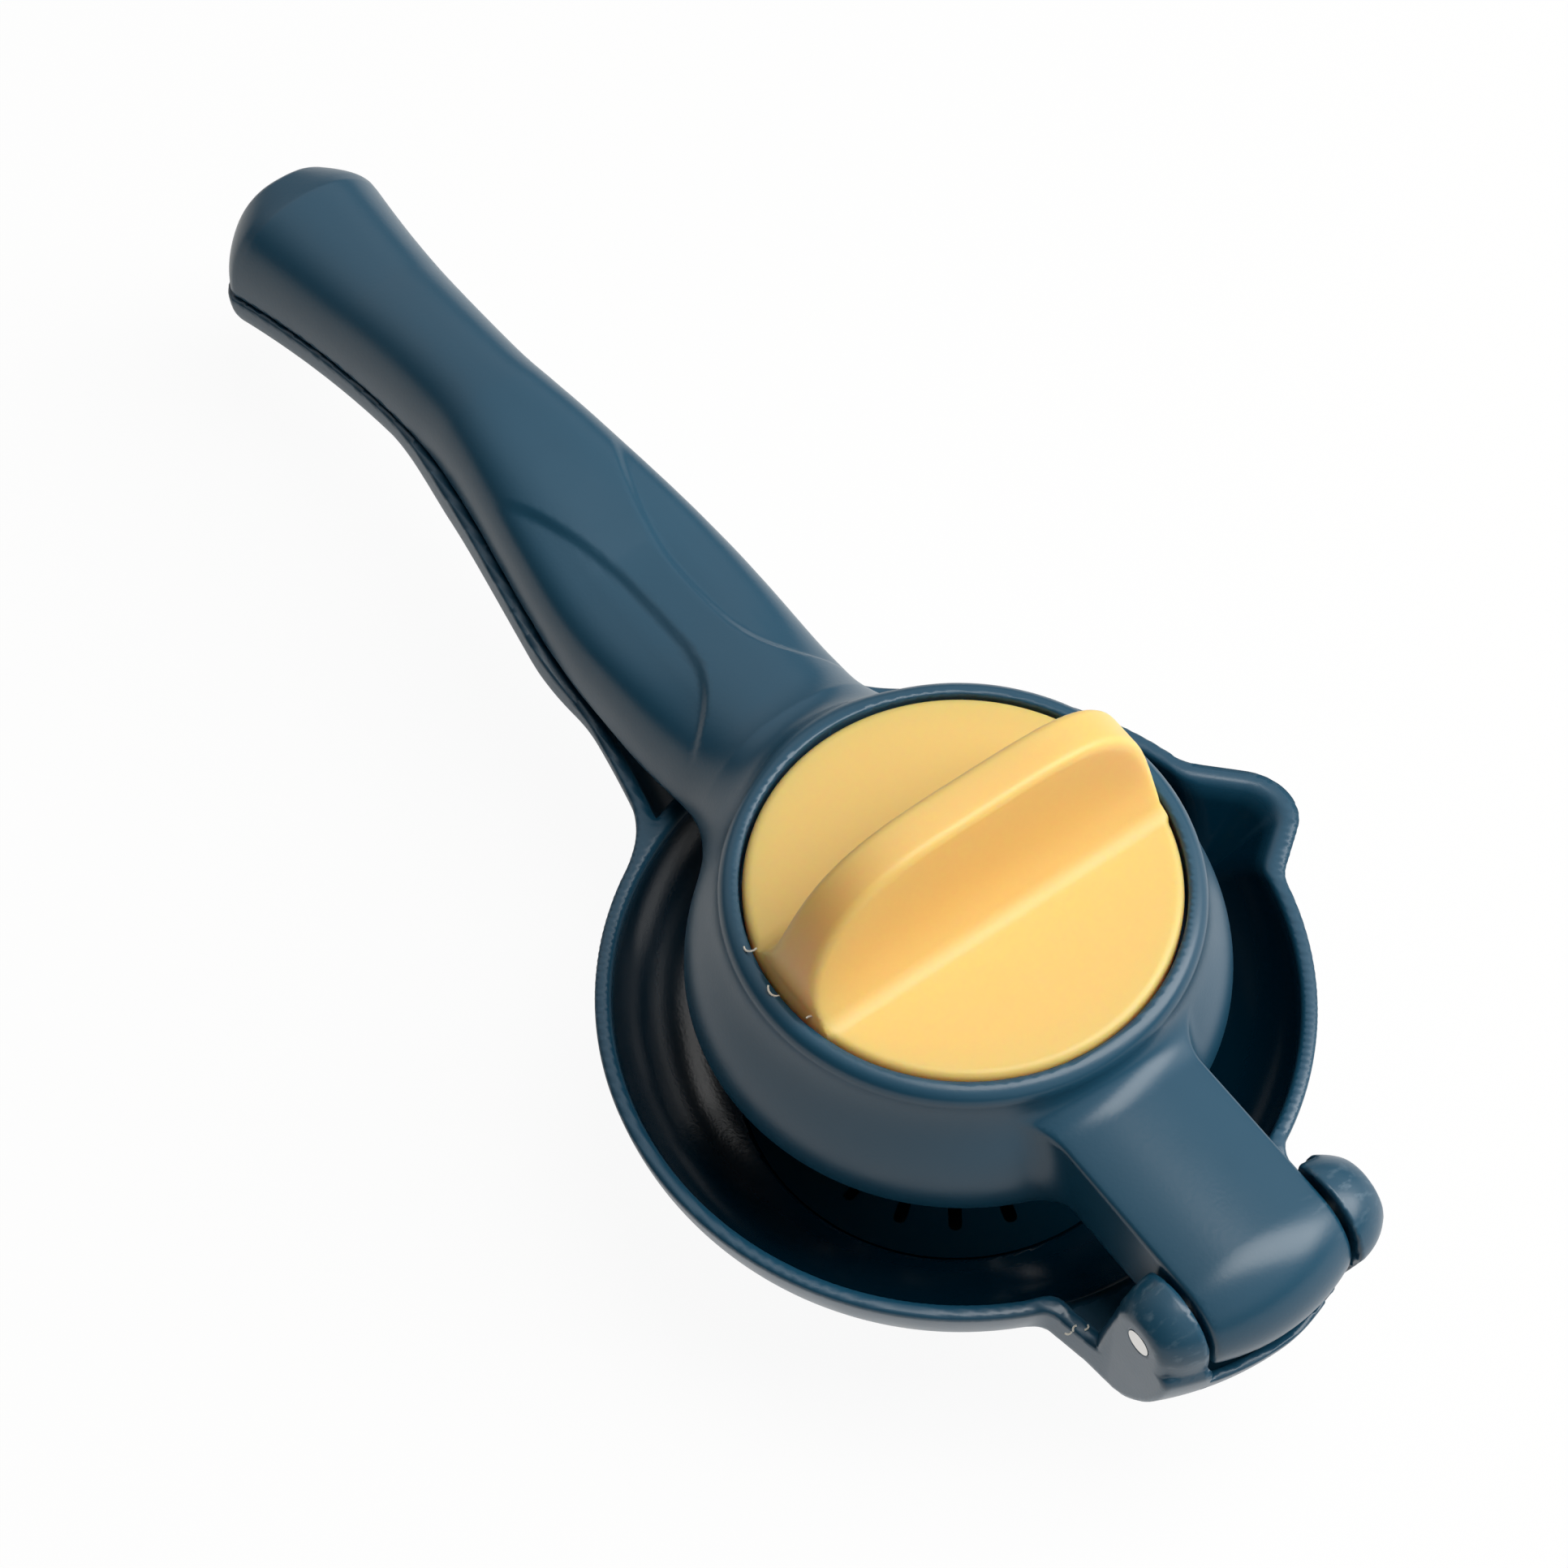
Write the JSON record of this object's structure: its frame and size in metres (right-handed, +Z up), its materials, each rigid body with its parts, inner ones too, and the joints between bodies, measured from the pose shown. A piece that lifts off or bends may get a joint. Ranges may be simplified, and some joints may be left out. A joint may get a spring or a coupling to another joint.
{
  "type": "hinged lemon squeezer",
  "caption": "Hand squeezer for half a lemon: a drum on a hinged lever closes over a lipped bowl, and a finned knob in the drum turns a toothed gripper on a fluted reamer.",
  "frame": {"origin": "centre of the bowl's foot, on the surface that the squeezer stands on", "axes": "+X towards the handle's end, +Z up; the hinge is at -X and the pouring lip at -Y"},
  "size_m": [0.2544, 0.1122, 0.085],
  "materials": {
    "navy_plastic": "satin moulded polypropylene",
    "yellow_plastic": "satin moulded polypropylene",
    "steel": "drawn stainless steel"
  },
  "bodies": {
    "base": {"lower_body": "navy_plastic", "strainer": "navy_plastic", "reamer": "navy_plastic", "hinge_pin": "steel"},
    "lever": {"upper_lever": "navy_plastic"},
    "knob": {"twist_knob": "yellow_plastic", "fruit_gripper": "yellow_plastic", "gripper_washer": "steel", "gripper_screw": "steel"}
  },
  "joints": [
    {"name": "lever_hinge", "type": "hinge", "parent": "base", "child": "lever", "pos_m": [-0.0632, 0, 0.046], "axis": [0, -1, 0], "range_deg": [0, 110]},
    {"name": "knob_turn", "type": "hinge", "parent": "lever", "child": "knob", "pos_m": [0, 0, 0.0571], "axis": [0, 0, 1], "continuous": true}
  ]
}
